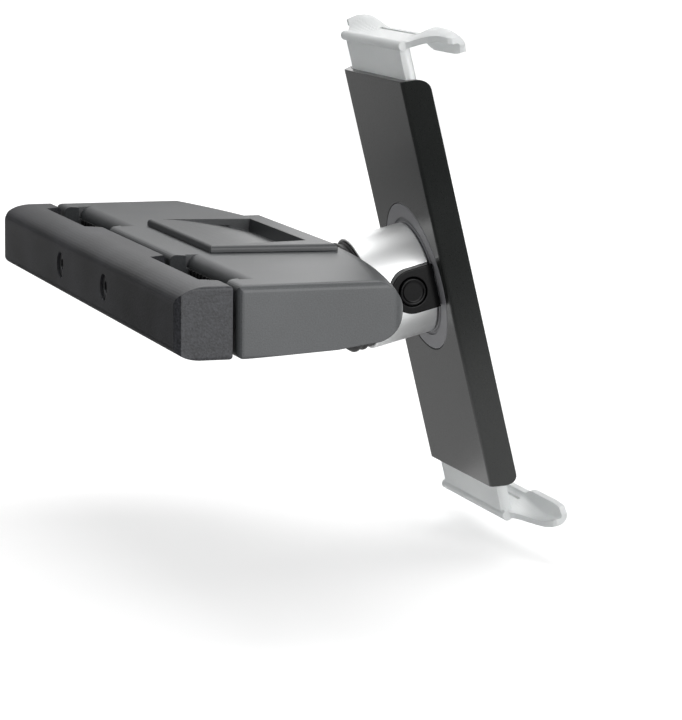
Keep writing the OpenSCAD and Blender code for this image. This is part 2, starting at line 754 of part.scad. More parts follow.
// Steel plate whose hole catches the neck of the turning stem
module latch_plate() color("#96989a") on_arm() difference() {
    tab = 1.7;
    union() {
        span([latch_at - latch_t/2, tab - 1 - latch_face, -latch_half],
            [latch_at + latch_t/2, latch_end, latch_half]);
        span([button_t - shank_d/4, -latch_face, -shank_d/3],
            [latch_at + latch_t/2, tab - latch_face, shank_d/3]);
    }
    translate([0, -button_travel, 0]) rod_x(stem_r + slide_gap + fit_gap, latch_at - latch_t, 2*latch_t);
}

module latch_spring() color("#a8a9aa") on_arm()
    translate([latch_at, latch_end + fit_gap, 0]) rotate([0, 0, 90])
        coil(0, latch_spring_len - 2*fit_gap, 0.8, 0.4, 5);

// Grey disc let into the channel's back, with its stem, flange, screw bosses and pinion post
module coupler_disc() color("#8b8c8e") on_arm() {
    r = coupler_d/2;
    neck_half = latch_t/2 + slide_gap;
    groove_r = sleeve_d/2 + 0.4;
    groove_w = 1.2;
    groove_t = 0.7;
    seat = flange_t/2;
    difference() {
        union() {
            rotate([0, 90, 0]) rotate_extrude($fn = 96) polygon([
                [0, stem_tip], [neck_r, stem_tip], [stem_r, stem_tip + stem_r - neck_r],
                [stem_r, latch_at - neck_half], [neck_r, latch_at - neck_half],
                [neck_r, latch_at + neck_half], [stem_r, latch_at + neck_half],
                [stem_r, chan_back], [groove_r, chan_back], [groove_r, chan_back + groove_t],
                [groove_r + groove_w, chan_back + groove_t], [groove_r + groove_w, chan_back],
                [r - 0.3, chan_back], [r, chan_back + 0.3], [r, wall_in + fit_gap],
                [r + flange_over, wall_in + fit_gap], [r + flange_over, flange_top], [0, flange_top]]);
            rod_x(post_r, flange_top - seat, cover_back - slide_gap - flange_top + seat);
            for (s = [-1, 1]) translate([0, s*boss_u, 0])
                rod_x(boss_r, flange_top - seat, cover_back - fit_gap - flange_top + seat);
        }
        for (s = [-1, 1]) translate([0, s*boss_u, 0])
            rod_x(small_screw_r + fit_gap, wall_in - over, cover_back - wall_in + 2*over);
    }
}

// Section of the channel: flat back with two flared flanges
module channel_section() {
    bend = 3;
    half = chan_w/2;
    inner = half - 0.62*chan_wall;
    lean = atan2(chan_flare, chan_d);
    steps = 6;
    bend_arc = arc(chan_back + bend, half - 0.62*bend, bend, bend, 180, 90 + lean, steps);
    outer = concat([[chan_open, half + chan_flare]], [for (i = [steps:-1:0]) bend_arc[i]]);
    inside = [[wall_in, inner - 0.3], [wall_in + 0.5, inner + 0.4],
        [chan_open, half + chan_flare - chan_wall]];
    polygon(concat(
        outer, [for (i = [len(outer) - 1:-1:0]) [outer[i][0], -outer[i][1]]],
        [for (i = [2:-1:0]) [inside[i][0], -inside[i][1]]], inside));
}

// Flat channel with flared flanges, open towards the tablet and at both ends
module holder_channel() color("#4a4c4e") on_arm() difference() {
    intersection() {
        linear_extrude(chan_len, center = true) channel_section();
        along_y(chan_w*2) side_outline();
    }
    rod_x(coupler_d/2 + slide_gap/2, chan_back - over, chan_wall + 2*over);
}

// Side outline of the channel with rounded free corners
module side_outline() {
    r = 4;
    h = chan_len/2;
    polygon(concat(
        [[chan_back - over, -h]], arc(chan_open - r, r - h, r, r, 270, 360, 6),
        arc(chan_open - r, h - r, r, r, 0, 90, 6), [[chan_back - over, h]]));
}

// Cover that closes the channel in front of the claws' tongues, with a rubbery rest face
module front_cover() color("#2b2c2e") on_arm() {
    half = chan_w/2 + chan_flare*(cover_back - chan_back)/chan_d - chan_wall - 2*slide_gap;
    end = cover_len/2;
    rim = 3;
    difference() {
        union() {
            span([cover_back, -half, -end], [cover_front, half, end]);
            span([cover_front - 0.01, rim - half, rim - end], [cover_front + 0.1, half - rim, end - rim]);
        }
        for (s = [-1, 1]) translate([0, s*boss_u, 0]) {
            rod_x(small_screw_r + slide_gap, cover_back - over, chan_d);
            rod_x(cover_screw_r + slide_gap, cover_back + 0.4, chan_d);
        }
    }
}

// Two countersunk screws from the front cover into the coupler
module cover_screws() color("#6a6c6e") on_arm() {
    for (s = [-1, 1]) translate([0, s*boss_u, 0]) difference() {
        union() {
            rod_x(cover_screw_r, cover_back + 0.4, 0.7);
            rod_x(small_screw_r, wall_in + 0.5, cover_back + 0.6 - wall_in);
        }
        for (a = [0, 90]) rotate([a, 0, 0])
            span([cover_back + 0.7, -1.6, -0.25], [cover_back + 2, 1.6, 0.25]);
    }
}

// Involute flank: point at radius r, with the tooth's half angle at the pitch circle taken off
function inv(a) = tan(a) - a*PI/180;
function flank_angle(r, base) = inv(acos(min(1, base/r)))*180/PI;

// Pinion outline with involute teeth thinned for backlash
module pinion_outline() {
    base = pitch_r*cos(20);
    tip = pitch_r + 0.85*gear_m;
    root = pitch_r - 1.2*gear_m;
    half = 90/pinion_teeth - 1.6;
    at_pitch = flank_angle(pitch_r, base);
    start = max(base, root + 0.1);
    rs = [for (i = [0:4]) start + (tip - start)*i/4];
    polygon([for (k = [0:pinion_teeth - 1]) let (c = 360*k/pinion_teeth)
        each concat(
            [[root*cos(c - half - 2), root*sin(c - half - 2)]],
            [for (r = rs) let (a = c - half - at_pitch + flank_angle(r, base)) [r*cos(a), r*sin(a)]],
            [for (i = [4:-1:0]) let (r = rs[i], a = c + half + at_pitch - flank_angle(r, base))
                [r*cos(a), r*sin(a)]],
            [[root*cos(c + half + 2), root*sin(c + half + 2)]])]);
}

module claw_pinion() color("#c9c7bd") on_arm() difference() {
    from_x(pinion_back, cover_back - slide_gap - pinion_back) pinion_outline();
    rod_x(post_r + fit_gap, pinion_back - over, chan_d);
}

// Rack teeth as an outline of Y and Z, their pitch line at u and facing the pinion
module rack_teeth(u, from, to) {
    pitch = PI*gear_m;
    add = 0.85*gear_m;
    ded = 1.3*gear_m;
    half = pitch/4 - 0.16;
    slope = tan(20);
    for (i = [ceil(from/pitch - 0.5) : floor(to/pitch - 0.5)]) let (v = (i + 0.5)*pitch)
        polygon([[u + ded + 0.5, v - half - ded*slope], [u + ded, v - half - ded*slope],
            [u - add, v - half + add*slope], [u - add, v + half - add*slope],
            [u + ded, v + half + ded*slope], [u + ded + 0.5, v + half + ded*slope]]);
}

// Smooth step from 0 at a to 1 at b
function ease(x, a, b) = let (k = max(0, min(1, (x - a)/(b - a)))) k*k*(3 - 2*k);

// Half width of the hook at k, from 0 at the bead to 1 at the front
function hook_half(k) = neck + (claw_span/2 - neck)*(1 - cos(90*min(1, k/0.8)));

// Height of the hook's top at its front: low between the lugs, domed over each
function hook_top(u) = let (a = abs(u), reach = claw_span/2, peak = reach - 17)
    claw_inner + claw_t + (a < peak ? lug_rise*ease(a, peak - 21, peak)
        : lug_rise*sqrt(1 - pow((a - peak)/(reach + 0.5 - peak), 2)));

// Lower end of the lip: it hooks over the tablet's front at the lugs only
function hook_end(u) = let (a = abs(u), reach = claw_span/2)
    claw_inner - 1.6
        - (hook_depth - 1.6)*ease(a, reach - 35, reach - 28)*sqrt(1 - pow(max(0, a - reach + 9)/10, 2));

// Point of the hook at row i and share w of its half width, on its outer face or sunk by inset
function hook_point(i, w, inset) =
    let (front = lip_back + claw_t, ramp_end = front - hook_round, k = min(1, i/hook_rows),
        phi = i <= hook_rows ? 90 : i >= hook_rows + 5 ? 0 : 90 - 18*(i - hook_rows),
        down = max(0, i - hook_rows - 5)/2,
        u = w*(i <= hook_rows ? hook_half(k) : claw_span/2 - 1.2*down),
        top = hook_top(u), base = claw_inner + claw_t, t0 = web_back + 0.6)
    i <= hook_rows
        ? [t0 + (ramp_end - t0)*k, u, base + (top - base)*ease(k, 0, 1) - inset]
        : [ramp_end + (hook_round - inset)*cos(phi), u,
            (top - hook_round)*(1 - down) + hook_end(u)*down + (hook_round - inset)*sin(phi)];

// Hook of a claw: a shell that ramps up to two domed lugs and turns down in front of the tablet
module hook() {
    rows = hook_rows + 7;
    cols = 36;
    ws = [for (j = [0:cols]) sin(-90 + 180*j/cols)*0.35 + (2*j/cols - 1)*0.65];
    n = cols + 1;
    side = (rows + 1)*n;
    points = concat(
        [for (i = [0:rows]) for (w = ws) hook_point(i, w, 0)],
        [for (i = [0:rows]) for (w = ws) hook_point(i, w, claw_t)]);
    quads = [for (i = [0:rows - 1]) for (j = [0:cols - 1])
        [i*n + j, i*n + j + 1, (i + 1)*n + j + 1, (i + 1)*n + j]];
    outer = [for (q = quads) each [[q[0], q[1], q[2]], [q[0], q[2], q[3]]]];
    inner = [for (f = outer) [f[0] + side, f[2] + side, f[1] + side]];
    rim = concat([for (j = [0:cols]) j], [for (i = [1:rows]) i*n + cols],
        [for (j = [cols - 1:-1:0]) rows*n + j], [for (i = [rows - 1:-1:1]) i*n]);
    m = len(rim);
    edge = [for (k = [0:m - 1]) let (a = rim[k], b = rim[(k + 1) % m])
        each [[b, a, a + side], [b, a + side, b + side]]];
    polyhedron(points, concat(outer, inner, edge));
}

// One claw, drawn as the upper one: tongue with side rims, rack arm, plate, lugs and lip
module claw() color("#e6e8e8") {
    half = tongue_w/2;
    rim = 2.2;
    notch_in = arm_in - 2.15*gear_m - 2*slide_gap;
    difference() {
        union() {
            span([tongue_back, -half, tongue_end], [tongue_front, half, web_start + claw_t]);
            span([web_back, -half, web_start], [web_back + claw_t, half, claw_inner + 0.5]);
            for (s = [-1, 1]) span([web_back, s < 0 ? -half : half - rim, web_start],
                [tongue_front, s < 0 ? rim - half : half, claw_inner + 0.5]);
            span([tongue_back, arm_in, arm_end], [tongue_front, arm_in + arm_w, tongue_end + 12]);
            between_y(-half - 2.8, half + 2.8)
                translate([web_back + bead_r - 0.8, claw_inner + claw_t + 0.8 - bead_r]) circle(r = bead_r);
            hook();
        }
        span([web_back - over, -arm_in - arm_w - 0.4, tongue_end - over],
            [tongue_front + over, -notch_in, 47.5]);
        span([lip_back - 3, -claw_slot, claw_inner - over],
            [lip_back - 1.8, claw_slot, claw_inner + claw_t + lug_rise + over]);
    }
    from_x(tongue_back, tongue_front - tongue_back) rack_teeth(pitch_r, arm_end, tongue_end - 3);
}
module upper_claw() on_arm() claw();
module lower_claw() on_arm() rotate([180, 0, 0]) claw();

jaw_bar();
jaw_pad_near();
jaw_pad_far();
clamp_screw_near();
clamp_screw_far();
body_housing();
body_pad_near();
body_pad_far();
clamp_nut_near();
clamp_nut_far();
base_plate();
base_screws();
pull_catch();
catch_spring_near();
catch_spring_far();
hinge_pin();
hinge_nut();
friction_washer_near();
friction_washer_far();
hinge_knuckle();
arm_core();
arm_sleeve();
button_housing();
release_button();
latch_plate();
latch_spring();
coupler_disc();
holder_channel();
front_cover();
cover_screws();
claw_pinion();
upper_claw();
lower_claw();
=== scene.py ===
"""Headrest tablet mount: the finish of its pieces, the studio and the camera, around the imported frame."""

import json
import math

import bmesh
import bpy
import numpy as np
from mathutils import Matrix, Vector

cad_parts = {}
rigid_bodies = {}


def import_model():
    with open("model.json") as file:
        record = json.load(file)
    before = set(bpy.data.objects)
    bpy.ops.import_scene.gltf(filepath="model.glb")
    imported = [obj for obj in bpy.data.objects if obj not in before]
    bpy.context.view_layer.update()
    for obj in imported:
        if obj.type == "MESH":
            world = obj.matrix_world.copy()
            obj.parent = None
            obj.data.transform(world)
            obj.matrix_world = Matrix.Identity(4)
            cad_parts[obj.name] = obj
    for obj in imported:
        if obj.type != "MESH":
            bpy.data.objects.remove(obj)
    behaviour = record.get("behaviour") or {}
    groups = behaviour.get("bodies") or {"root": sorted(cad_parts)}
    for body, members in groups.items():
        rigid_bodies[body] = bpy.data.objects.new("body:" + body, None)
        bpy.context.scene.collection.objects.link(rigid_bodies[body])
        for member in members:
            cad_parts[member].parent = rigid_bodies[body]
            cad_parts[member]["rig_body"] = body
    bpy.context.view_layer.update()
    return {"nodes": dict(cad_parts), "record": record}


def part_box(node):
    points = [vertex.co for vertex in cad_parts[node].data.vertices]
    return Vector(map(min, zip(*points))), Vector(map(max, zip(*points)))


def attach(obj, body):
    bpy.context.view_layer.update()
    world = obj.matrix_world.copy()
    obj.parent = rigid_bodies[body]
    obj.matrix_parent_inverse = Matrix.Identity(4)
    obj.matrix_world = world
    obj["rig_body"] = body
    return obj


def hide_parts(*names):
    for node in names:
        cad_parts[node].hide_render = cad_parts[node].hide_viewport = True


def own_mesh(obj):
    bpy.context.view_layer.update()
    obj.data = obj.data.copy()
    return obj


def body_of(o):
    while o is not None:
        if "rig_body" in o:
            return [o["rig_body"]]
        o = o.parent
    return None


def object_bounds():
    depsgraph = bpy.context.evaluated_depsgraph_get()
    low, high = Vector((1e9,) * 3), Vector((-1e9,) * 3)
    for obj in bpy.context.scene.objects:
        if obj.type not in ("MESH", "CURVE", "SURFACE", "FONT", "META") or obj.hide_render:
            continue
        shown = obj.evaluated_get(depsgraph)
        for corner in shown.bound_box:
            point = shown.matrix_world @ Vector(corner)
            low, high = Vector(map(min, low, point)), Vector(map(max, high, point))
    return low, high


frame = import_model()
slot_of = {entry["node"]: entry["material_slot"] for entry in frame["record"]["subparts"]}
body_of_node = {name: body_of(node)[0] for name, node in frame["nodes"].items()}

MM = 0.001

# Camera of the photograph, fitted to the object: place in metres, direction, roll, lens and sensor in mm
CAMERA_AT = Vector((-0.3101, -1.1521, 0.15875))
CAMERA_FORWARD = Vector((0.3145, 0.9363, -0.1564))
CAMERA_ROLL = math.radians(0.64)
CAMERA_LENS = 179.6
SENSOR_WIDTH = 36.0

# Radius that moulding and deburring leave on an edge, where the material draws it, and the rays that find it
EDGE_RADIUS = 0.4 * MM
EDGE_SAMPLES = 6

# Radius in mm on the edges of the pieces that get it in their shape, and the faces across it
EDGE_RADII = {
    "holder_channel": 0.4, "coupler_disc": 0.3, "hinge_knuckle": 0.35,
    "button_housing": 0.35, "release_button": 0.3,
    "clamp_screw_near": 0.2, "clamp_screw_far": 0.2, "base_screws": 0.15, "cover_screws": 0.15,
    "hinge_pin": 0.2, "hinge_nut": 0.2,
}
EDGE_FACES = 3

# Points nearer than this are one point. Triangles that bend less than the flat angle are one face, and an edge
# that bends more than the sharp angle gets its radius
SAME_POINT = 0.001 * MM
FLAT_ANGLE = math.radians(0.2)
SHARP_ANGLE = math.radians(28)

# Points along each turn of a spring, and round its wire
STEPS_A_TURN = 24
WIRE_SIDES = 10

# Refraction of the plastics and the rubber
ABS_IOR = 1.54
ACETAL_IOR = 1.48
POLYCARBONATE_IOR = 1.58
RUBBER_IOR = 1.5

# A moulded plastic's colour follows a soft cloud of this size, tone that differs at random, with this share of
# its grain, which paints shade into the pits. It reaches its low and high colour at these values of the two
# together
CLOUD_MM = 30.0
PIT_SHADE_SHARE = 0.55
LOW_AT, HIGH_AT = 0.35, 0.65

# How far the roughness of a finish varies to either side along its pattern
MOULDED_SPREAD = 0.05
BLASTED_SPREAD = 0.04
HARDWARE_SPREAD = 0.08

# Light of the white surroundings on the object. In the picture and in reflections they are plain white
WORLD_LIGHT = 0.5

# Softboxes: place and size in metres, and power in watts. All face a point near the object's middle
SOFTBOX_AIM = (0.05, 0.0, 0.0)
SOFTBOXES = {
    "top_softbox": ((0.15, 0.35, 1.1), (1.0, 0.8), 6.0),
    "side_softbox": ((0.3, -1.2, 0.35), (0.7, 0.9), 9.5),
    "back_softbox": ((0.6, 1.2, 0.5), (0.8, 0.8), 2.0),
}

# Tones of the cards that reflections see
BLACK_FELT = 0.01
DARK_CARD = 0.08
SLATE_CARD = 0.14
GREY_CARD = 0.5

# The floor lies a little under the lower claw and reaches this far, in metres. Its glow grows between these
# two distances from the object, because the lamps no longer reach the far part
FLOOR_GAP = 12 * MM
FLOOR_REACH = 30.0
NEAR, FAR = 0.3, 2.5
NEAR_GLOW, FAR_GLOW = 0.42, 0.75


def linear(code):
    """sRGB hex colour as a linear RGBA tuple.

    Each channel c becomes ((c + 0.055) / 1.055) ^ 2.4, or c / 12.92 where it is dark.
    """
    channels = np.array([int(code[i:i + 2], 16) for i in (1, 3, 5)]) / 255
    bright = ((channels + 0.055) / 1.055) ** 2.4
    return (*np.where(channels > 0.04045, bright, channels / 12.92), 1.0)


def add(tree, kind, settings=None, links=None):
    """Adds a node of that kind, sets its properties or inputs by name, and links sockets to its inputs."""
    node = tree.nodes.new("ShaderNode" + kind)
    for name, value in (settings or {}).items():
        if name in node.inputs:
            node.inputs[name].default_value = value
        else:
            setattr(node, name, value)
    for name, socket in (links or {}).items():
        tree.links.new(socket, node.inputs[name])
    return node


def new_material(name):
    """An empty node material, its tree, and a socket with Object coordinates in metres."""
    material = bpy.data.materials.new(name)
    material.use_nodes = True
    tree = material.node_tree
    tree.nodes.clear()
    place = add(tree, "TexCoord").outputs["Object"]
    return material, tree, place


def finish_material(material, tree, shader):
    """The material with the shader on its surface."""
    add(tree, "OutputMaterial", links={"Surface": shader.outputs[0]})
    return material


def relief(tree, height, depth_mm):
    """Surface with that relief, whose edges catch the light as the small radius of a moulded part does."""
    edge = add(tree, "Bevel", {"samples": EDGE_SAMPLES, "Radius": EDGE_RADIUS})
    bump = add(tree, "Bump", {"Strength": 1.0, "Distance": depth_mm * MM},
               {"Height": height, "Normal": edge.outputs[0]})
    return bump.outputs[0]


def moulded_plastic(name, low, high, roughness, grain_mm, depth_mm, ior=ABS_IOR, shine=0.5):
    """Injection-moulded plastic from an eroded tool: a fine even grain that breaks the highlights up.

    Its colour lies between low and high along a soft cloud with some of the grain in it, whose pits get
    painted shade. Shine is its specular level, which is lower where the pits swallow light.
    """
    material, tree, place = new_material(name)
    cloud = add(tree, "TexNoise", {"Scale": 1 / (CLOUD_MM * MM), "Detail": 3.0}, {"Vector": place})
    # The real grain is near 0.1 mm, drawn some times coarser so that it shows
    grain = add(tree, "TexNoise", {"Scale": 1 / (grain_mm * MM), "Detail": 2.0}, {"Vector": place})
    # The grain's share in the colour darkens the pits, where the relief is low: painted shade
    cloud_and_pit_shade = add(tree, "Mix", {"data_type": "FLOAT", "Factor": PIT_SHADE_SHARE},
                 {"A": cloud.outputs[0], "B": grain.outputs[0]})
    colour = add(tree, "ValToRGB", links={"Fac": cloud_and_pit_shade.outputs[0]})
    low_end, high_end = colour.color_ramp.elements
    low_end.position = LOW_AT
    low_end.color = linear(low)
    high_end.position = HIGH_AT
    high_end.color = linear(high)
    rough = add(tree, "MapRange", {"To Min": roughness - MOULDED_SPREAD, "To Max": roughness + MOULDED_SPREAD},
                {"Value": grain.outputs[0]})
    shader = add(tree, "BsdfPrincipled", {"IOR": ior, "Specular IOR Level": shine}, {
        "Base Color": colour.outputs[0], "Roughness": rough.outputs[0],
        "Normal": relief(tree, grain.outputs[0], depth_mm)})
    return finish_material(material, tree, shader)


def polished_plastic(name, colour, ripple_mm, depth_mm, shine):
    """ABS from a polished tool: deep gloss with a faint ripple where the melt flowed."""
    material, tree, place = new_material(name)
    ripple = add(tree, "TexNoise", {"Scale": 1 / (ripple_mm * MM), "Detail": 1.0}, {"Vector": place})
    rough = add(tree, "MapRange", {"To Min": 0.14, "To Max": 0.22}, {"Value": ripple.outputs[0]})
    shader = add(tree, "BsdfPrincipled",
                 {"Base Color": linear(colour), "IOR": ABS_IOR, "Specular IOR Level": shine},
                 {"Roughness": rough.outputs[0], "Normal": relief(tree, ripple.outputs[0], depth_mm)})
    return finish_material(material, tree, shader)


def satin_aluminium(name, colour, roughness, grain_mm, depth_mm):
    """Blasted and anodised aluminium: a bright, soft metal with a very fine grain."""
    material, tree, place = new_material(name)
    # The real blast grain is near 0.1 mm, drawn some times coarser so that it shows
    grain = add(tree, "TexNoise", {"Scale": 1 / (grain_mm * MM), "Detail": 2.0}, {"Vector": place})
    rough = add(tree, "MapRange", {"To Min": roughness - BLASTED_SPREAD, "To Max": roughness + BLASTED_SPREAD},
                {"Value": grain.outputs[0]})
    shader = add(tree, "BsdfPrincipled", {"Base Color": linear(colour), "Metallic": 1.0},
                 {"Roughness": rough.outputs[0], "Normal": relief(tree, grain.outputs[0], depth_mm)})
    return finish_material(material, tree, shader)


def metal_hardware(name, colour, roughness, blotch_mm=1.5):
    """Plated, blackened or turned metal of screws, nuts, springs and washers: bright but a little blotchy."""
    material, tree, place = new_material(name)
    blotch = add(tree, "TexNoise", {"Scale": 1 / (blotch_mm * MM), "Detail": 3.0}, {"Vector": place})
    rough = add(tree, "MapRange",
                {"To Min": roughness - HARDWARE_SPREAD, "To Max": roughness + HARDWARE_SPREAD},
                {"Value": blotch.outputs[0]})
    shader = add(tree, "BsdfPrincipled", {"Base Color": linear(colour), "Metallic": 1.0},
                 {"Roughness": rough.outputs[0]})
    return finish_material(material, tree, shader)


def frosted_polycarbonate(name, colour, cloud_mm, grain_mm, depth_mm):
    """Natural polycarbonate from a frosted tool: milky, lets soft light through and scatters it inside."""
    material, tree, place = new_material(name)
    cloud = add(tree, "TexNoise", {"Scale": 1 / (cloud_mm * MM), "Detail": 3.0}, {"Vector": place})
    # The real frosting is near 0.05 mm, drawn about ten times coarser so that it shows
    grain = add(tree, "TexNoise", {"Scale": 1 / (grain_mm * MM), "Detail": 2.0}, {"Vector": place})
    rough = add(tree, "MapRange", {"To Min": 0.36, "To Max": 0.48}, {"Value": cloud.outputs[0]})
    shader = add(tree, "BsdfPrincipled", {
        "Base Color": linear(colour), "IOR": POLYCARBONATE_IOR, "Transmission Weight": 0.55,
        "Subsurface Weight": 0.35, "Subsurface Radius": (0.6, 0.6, 0.6), "Subsurface Scale": 3 * MM,
    }, {"Roughness": rough.outputs[0], "Normal": relief(tree, grain.outputs[0], depth_mm)})
    return finish_material(material, tree, shader)


def pad_rubber(name, colour, bloom_mm):
    """Moulded EPDM rubber: matt, nearly black, with a dusty bloom."""
    material, tree, place = new_material(name)
    bloom = add(tree, "TexNoise", {"Scale": 1 / (bloom_mm * MM), "Detail": 4.0}, {"Vector": place})
    rough = add(tree, "MapRange", {"To Min": 0.7, "To Max": 0.9}, {"Value": bloom.outputs[0]})
    shader = add(tree, "BsdfPrincipled", {
        "Base Color": linear(colour), "IOR": RUBBER_IOR, "Sheen Weight": 0.02, "Specular IOR Level": 0.1,
    }, {"Roughness": rough.outputs[0]})
    return finish_material(material, tree, shader)


def make_materials():
    """One material for each of the record's slots."""
    return {
        # Clamp: a coarse, dark grain on the jaw, a finer and lighter satin on the body, the catch in between
        "bar_plastic": moulded_plastic("bar_abs_eroded_grain", "#101113", "#393a3e", 0.46,
                                       grain_mm=0.7, depth_mm=0.07, shine=0.34),
        "body_plastic": moulded_plastic("body_abs_satin_grain", "#363839", "#454749", 0.42,
                                        grain_mm=0.5, depth_mm=0.03, shine=0.45),
        "catch_plastic": moulded_plastic("catch_abs_satin_grain", "#2c2e30", "#36383a", 0.40,
                                         grain_mm=0.4, depth_mm=0.02, shine=0.45),
        # Holder: a nearly smooth channel that mirrors softly, a pale grey disc and milky claws
        "channel_plastic": moulded_plastic("channel_abs_fine_satin", "#1f2120", "#262827", 0.29,
                                           grain_mm=0.3, depth_mm=0.003, shine=0.6),
        "coupler_plastic": moulded_plastic("coupler_acetal_grey", "#838386", "#8c8c90", 0.42,
                                           grain_mm=0.4, depth_mm=0.01, ior=ACETAL_IOR),
        "frosted_plastic": frosted_polycarbonate("claw_polycarbonate_frosted", "#eef0f0",
                                                 cloud_mm=8, grain_mm=0.6, depth_mm=0.012),
        "gear_acetal": moulded_plastic("pinion_acetal_natural", "#d6d2c4", "#dedad0", 0.35,
                                       grain_mm=0.5, depth_mm=0.01, ior=ACETAL_IOR),
        # Arm: deep black knuckle and button against the bright sleeve
        "black_nylon": moulded_plastic("knuckle_glass_filled_nylon", "#08080a", "#101011", 0.36,
                                       grain_mm=0.6, depth_mm=0.03, shine=0.12),
        "gloss_black": polished_plastic("button_abs_polished", "#040405",
                                        ripple_mm=9, depth_mm=0.02, shine=0.11),
        "sleeve_aluminium": satin_aluminium("sleeve_anodised_aluminium", "#eaebeb", 0.40,
                                            grain_mm=0.5, depth_mm=0.004),
        # Small parts, most of them inside
        "pad_rubber": pad_rubber("pad_epdm_rubber", "#070708", bloom_mm=4),
        "dark_steel": metal_hardware("screw_black_oxide_steel", "#77787a", 0.30),
        "plated_steel": metal_hardware("small_parts_zinc_plated_steel", "#a9abad", 0.34),
        "spring_steel": metal_hardware("spring_drawn_wire", "#9c9ea0", 0.3),
        "washer_brass": metal_hardware("washer_turned_brass", "#c3a45c", 0.36),
    }


def dress_nodes(materials):
    """Gives every CAD node the material of its slot."""
    for name, node in frame["nodes"].items():
        node.data.materials.clear()
        node.data.materials.append(materials[slot_of[name]])


def put_in_place_of(node, mesh, materials):
    """The mesh as a smooth piece that takes the CAD node's place: its body and the material of its slot."""
    mesh.polygons.foreach_set("use_smooth", np.ones(len(mesh.polygons), dtype=bool))
    mesh.materials.append(materials[slot_of[node]])
    piece = bpy.data.objects.new(mesh.name, mesh)
    bpy.context.scene.collection.objects.link(piece)
    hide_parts(node)
    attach(piece, body_of_node[node])
    return piece


def soften(node, materials, radius_mm):
    """The node's own shape with the small edge radius of a moulded or deburred part.

    Points that coincide are merged, the triangles of each flat face joined, and every sharp edge is rounded
    over with that radius.
    """
    mesh = bpy.data.meshes.new(node + "_softened")
    work = bmesh.new()
    work.from_mesh(frame["nodes"][node].data)
    bmesh.ops.remove_doubles(work, verts=work.verts, dist=SAME_POINT)
    bmesh.ops.dissolve_limit(work, angle_limit=FLAT_ANGLE, verts=work.verts, edges=work.edges)
    work.to_mesh(mesh)
    work.free()
    piece = put_in_place_of(node, mesh, materials)
    edge = piece.modifiers.new("edge", "BEVEL")
    edge.width = radius_mm * MM
    edge.segments = EDGE_FACES
    edge.limit_method = "ANGLE"
    edge.angle_limit = SHARP_ANGLE
    edge.use_clamp_overlap = True
    flat = piece.modifiers.new("flat", "WEIGHTED_NORMAL")
    flat.keep_sharp = True


def coil_spring(node, materials, axis, turns, wire_mm):
    """Compression spring in the box of its CAD node: a round wire carried along a helix with flat end turns.

    The wire's middle goes round the axis at the radius that fills the box, and rises evenly between half a
    turn from either end. Its section is a circle spanned by the axis and the radius.
    """
    low, high = (np.array(corner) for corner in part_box(node))
    middle = (low + high) / 2
    length = high[axis] - low[axis]
    wire = wire_mm * MM / 2
    across, up = (axis + 1) % 3, (axis + 2) % 3
    radius = (high[across] - low[across]) / 2 - wire
    turn = np.linspace(0, turns, turns * STEPS_A_TURN + 1)[:, None]
    around = np.linspace(0, 2 * np.pi, WIRE_SIDES, endpoint=False)[None, :]
    rise = np.clip((turn - 0.5) / (turns - 1), 0, 1) * (length - 2 * wire) - length / 2 + wire
    reach = radius + wire * np.cos(around)
    points = np.empty((turn.size, around.size, 3))
    points[..., axis] = middle[axis] + rise + wire * np.sin(around)
    points[..., across] = middle[across] + reach * np.cos(2 * np.pi * turn)
    points[..., up] = middle[up] + reach * np.sin(2 * np.pi * turn)
    index = np.arange(turn.size * WIRE_SIDES).reshape(turn.size, WIRE_SIDES)
    beside = np.roll(index, -1, axis=1)
    walls = np.stack([index[:-1], beside[:-1], beside[1:], index[1:]], axis=-1).reshape(-1, 4)
    mesh = bpy.data.meshes.new(node + "_coil")
    mesh.from_pydata(points.reshape(-1, 3).tolist(), [],
                     walls.tolist() + [index[0, ::-1].tolist(), index[-1].tolist()])
    work = bmesh.new()
    work.from_mesh(mesh)
    bmesh.ops.recalc_face_normals(work, faces=work.faces)
    work.to_mesh(mesh)
    work.free()
    piece = put_in_place_of(node, mesh, materials)
    anchor = middle.copy()
    anchor[axis] = high[axis]
    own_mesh(piece)


def make_springs(materials):
    """The catch's two springs and the latch's."""
    for name in ("catch_spring_near", "catch_spring_far"):
        coil_spring(name, materials, axis=0, turns=6, wire_mm=0.5)
    coil_spring("latch_spring", materials, axis=1, turns=5, wire_mm=0.4)


def make_camera():
    """Camera at the photograph's viewpoint, rolled about its own axis."""
    data = bpy.data.cameras.new("camera")
    data.sensor_fit = "HORIZONTAL"
    data.sensor_width = SENSOR_WIDTH
    data.lens = CAMERA_LENS
    camera = bpy.data.objects.new("camera", data)
    bpy.context.scene.collection.objects.link(camera)
    turn = CAMERA_FORWARD.to_track_quat("-Z", "Y").to_matrix().to_4x4()
    camera.matrix_world = Matrix.Translation(CAMERA_AT) @ turn @ Matrix.Rotation(CAMERA_ROLL, 4, "Z")
    bpy.context.scene.camera = camera


def make_softbox(name, at, size, power):
    """Rectangular softbox that faces the object."""
    data = bpy.data.lights.new(name, "AREA")
    data.shape = "RECTANGLE"
    data.size, data.size_y = size
    data.energy = power
    lamp = bpy.data.objects.new(name, data)
    bpy.context.scene.collection.objects.link(lamp)
    turn = (Vector(SOFTBOX_AIM) - Vector(at)).to_track_quat("-Z", "Y").to_matrix().to_4x4()
    lamp.matrix_world = Matrix.Translation(at) @ turn


